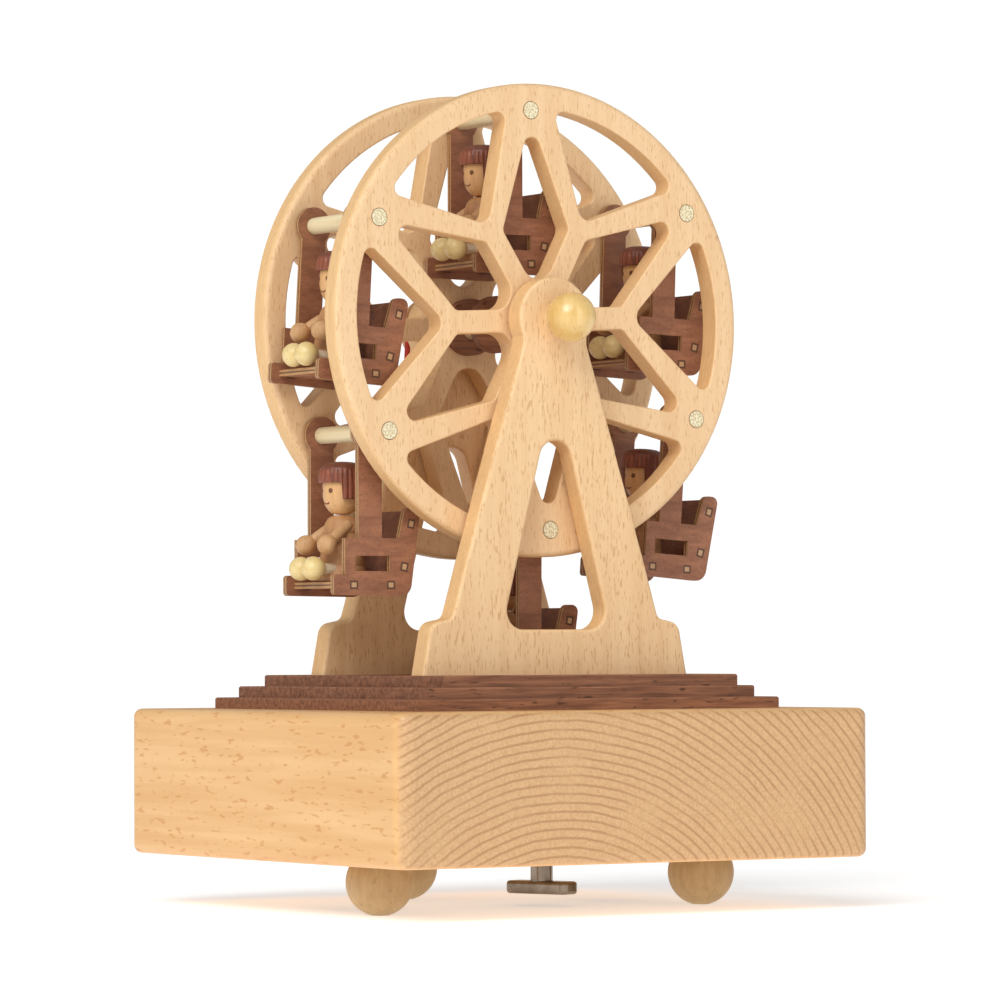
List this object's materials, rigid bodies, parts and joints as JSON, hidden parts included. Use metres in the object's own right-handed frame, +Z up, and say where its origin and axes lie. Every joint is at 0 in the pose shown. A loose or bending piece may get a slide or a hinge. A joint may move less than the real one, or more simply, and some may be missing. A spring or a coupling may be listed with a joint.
{
  "type": "musical ferris wheel toy",
  "caption": "Wooden ferris wheel toy on a stepped base, with hanging gondolas and seated riders, an axle knob, a belt drive and a wind-up movement with its key below.",
  "frame": {"origin": "on the ground, under the middle of the base block", "axes": "+Z up, the wheel's axle along Y with the knob towards -Y, the riders facing -X"},
  "size_m": [0.13, 0.13, 0.1962],
  "materials": {
    "base_block": "satin lacquer",
    "dark_wood": "open grain, oiled",
    "pale_wood": "satin lacquer",
    "wheel_wood": "satin lacquer",
    "dowel_wood": "satin",
    "knob_wood": "polished",
    "gondola_ply": "stained ply",
    "doll_wood": "turned wood",
    "foot_wood": "turned wood",
    "cover_board": "plywood",
    "screw_steel": "zinc plated",
    "key_metal": "antique nickel",
    "brass": "satin",
    "steel": "satin",
    "red_rubber": "smooth",
    "movement_metal": "cast"
  },
  "bodies": {
    "base": {"base_block": "base_block", "base_cover": "cover_board", "cover_screws": "screw_steel", "ball_feet": "foot_wood", "step_plate_lower": "dark_wood", "step_plate_middle": "dark_wood", "step_plate_upper": "dark_wood", "frame_front": "pale_wood", "frame_rear": "pale_wood", "frame_pegs": "dowel_wood", "drive_belt": "red_rubber", "movement_bedplate": "movement_metal", "music_comb": "steel", "movement_screws": "screw_steel"},
    "wheel": {"wheel_front": "wheel_wood", "wheel_rear": "wheel_wood", "wheel_axle": "dowel_wood", "hub_discs": "dark_wood", "gondola_dowels": "dowel_wood", "front_knob": "knob_wood", "axle_pulley": "pale_wood"},
    "cylinder": {"pin_cylinder": "brass", "drive_pulley": "pale_wood"},
    "barrel": {"spring_barrel": "brass"},
    "governor": {"governor": "steel"},
    "key": {"winding_key": "key_metal"},
    "gondola_1": {"gondola_1_side_front": "gondola_ply", "gondola_1_side_rear": "gondola_ply", "gondola_1_boards": "gondola_ply", "gondola_1_doll_body": "doll_wood", "gondola_1_doll_head": "doll_wood"},
    "gondola_2": {"gondola_2_side_front": "gondola_ply", "gondola_2_side_rear": "gondola_ply", "gondola_2_boards": "gondola_ply", "gondola_2_doll_body": "doll_wood", "gondola_2_doll_head": "doll_wood"},
    "gondola_3": {"gondola_3_side_front": "gondola_ply", "gondola_3_side_rear": "gondola_ply", "gondola_3_boards": "gondola_ply", "gondola_3_doll_body": "doll_wood", "gondola_3_doll_head": "doll_wood"},
    "gondola_4": {"gondola_4_side_front": "gondola_ply", "gondola_4_side_rear": "gondola_ply", "gondola_4_boards": "gondola_ply", "gondola_4_doll_body": "doll_wood", "gondola_4_doll_head": "doll_wood"},
    "gondola_5": {"gondola_5_side_front": "gondola_ply", "gondola_5_side_rear": "gondola_ply", "gondola_5_boards": "gondola_ply", "gondola_5_doll_body": "doll_wood", "gondola_5_doll_head": "doll_wood"},
    "gondola_6": {"gondola_6_side_front": "gondola_ply", "gondola_6_side_rear": "gondola_ply", "gondola_6_boards": "gondola_ply", "gondola_6_doll_body": "doll_wood", "gondola_6_doll_head": "doll_wood"}
  },
  "joints": [
    {"name": "wheel_spin", "type": "hinge", "parent": "base", "child": "wheel", "pos_m": [0, 0, 0.13985], "axis": [0, 1, 0], "continuous": true},
    {"name": "key_turn", "type": "hinge", "parent": "base", "child": "key", "pos_m": [0.009, -0.007, 0.0045], "axis": [0, 0, 1], "continuous": true},
    {"name": "cylinder_spin", "type": "hinge", "parent": "base", "child": "cylinder", "pos_m": [0, 0, 0.0305], "axis": [0, 1, 0], "continuous": true},
    {"name": "barrel_spin", "type": "hinge", "parent": "base", "child": "barrel", "pos_m": [0.009, -0.007, 0.02], "axis": [0, 0, 1], "continuous": true},
    {"name": "governor_spin", "type": "hinge", "parent": "base", "child": "governor", "pos_m": [-0.015, -0.012, 0.02], "axis": [0, 0, 1], "continuous": true},
    {"name": "gondola_1_swing", "type": "hinge", "parent": "wheel", "child": "gondola_1", "pos_m": [-0.00253, -0.00085, 0.18972], "axis": [0, 1, 0], "continuous": true},
    {"name": "gondola_2_swing", "type": "hinge", "parent": "wheel", "child": "gondola_2", "pos_m": [-0.04445, -0.00085, 0.16259], "axis": [0, 1, 0], "continuous": true},
    {"name": "gondola_3_swing", "type": "hinge", "parent": "wheel", "child": "gondola_3", "pos_m": [-0.04192, -0.00085, 0.11272], "axis": [0, 1, 0], "continuous": true},
    {"name": "gondola_4_swing", "type": "hinge", "parent": "wheel", "child": "gondola_4", "pos_m": [0.00253, -0.00085, 0.08998], "axis": [0, 1, 0], "continuous": true},
    {"name": "gondola_5_swing", "type": "hinge", "parent": "wheel", "child": "gondola_5", "pos_m": [0.04445, -0.00085, 0.11711], "axis": [0, 1, 0], "continuous": true},
    {"name": "gondola_6_swing", "type": "hinge", "parent": "wheel", "child": "gondola_6", "pos_m": [0.04192, -0.00085, 0.16698], "axis": [0, 1, 0], "continuous": true}
  ],
  "couplings": [
    {"joint": "cylinder_spin", "follows": "wheel_spin", "ratio": 0.5538},
    {"joint": "barrel_spin", "follows": "wheel_spin", "ratio": 0.3938},
    {"joint": "governor_spin", "follows": "wheel_spin", "ratio": 8},
    {"joint": "gondola_1_swing", "follows": "wheel_spin", "ratio": -1},
    {"joint": "gondola_2_swing", "follows": "wheel_spin", "ratio": -1},
    {"joint": "gondola_3_swing", "follows": "wheel_spin", "ratio": -1},
    {"joint": "gondola_4_swing", "follows": "wheel_spin", "ratio": -1},
    {"joint": "gondola_5_swing", "follows": "wheel_spin", "ratio": -1},
    {"joint": "gondola_6_swing", "follows": "wheel_spin", "ratio": -1}
  ]
}
